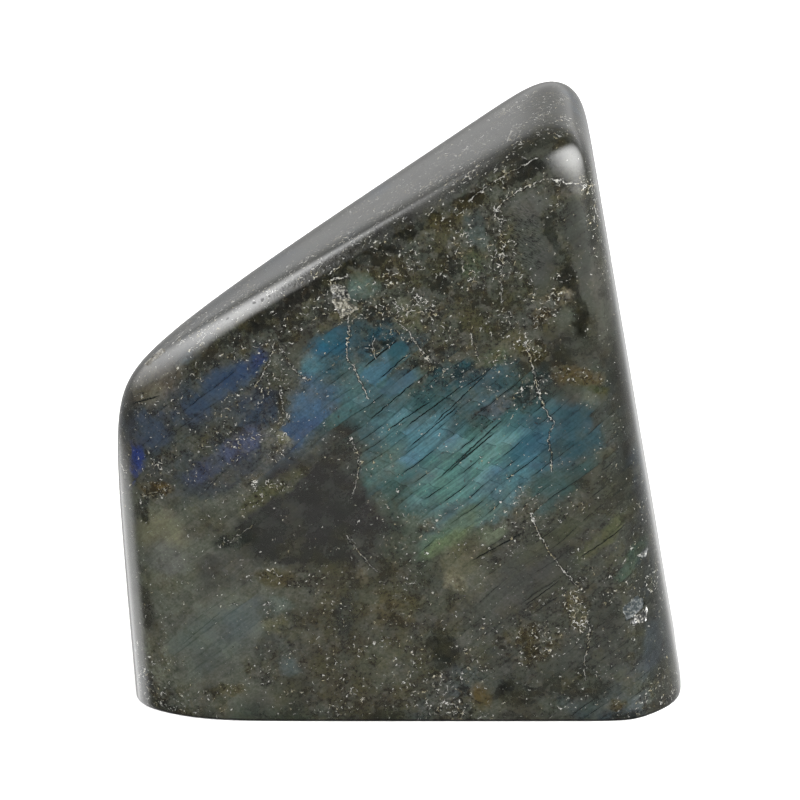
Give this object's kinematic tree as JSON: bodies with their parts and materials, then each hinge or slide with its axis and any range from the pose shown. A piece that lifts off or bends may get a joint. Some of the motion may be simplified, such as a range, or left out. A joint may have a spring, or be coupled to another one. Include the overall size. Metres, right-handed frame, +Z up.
{
  "type": "polished labradorite freeform",
  "caption": "Free-standing polished labradorite: a wedge-shaped stone with a flat sawn base, a near upright front, softly rounded edges and a top face that slopes down to one side.",
  "frame": {"origin": "middle of the stone's box, on its sawn base", "axes": "+Z up, the stone's longest side; -Y the polished front, with +Y through the stone's thickness; +X to the right as the front is seen, towards the peak"},
  "size_m": [0.0972, 0.0468, 0.105],
  "materials": {
    "labradorite": "polished"
  },
  "bodies": {
    "root": {"labradorite_stone": "labradorite"}
  },
  "joints": []
}
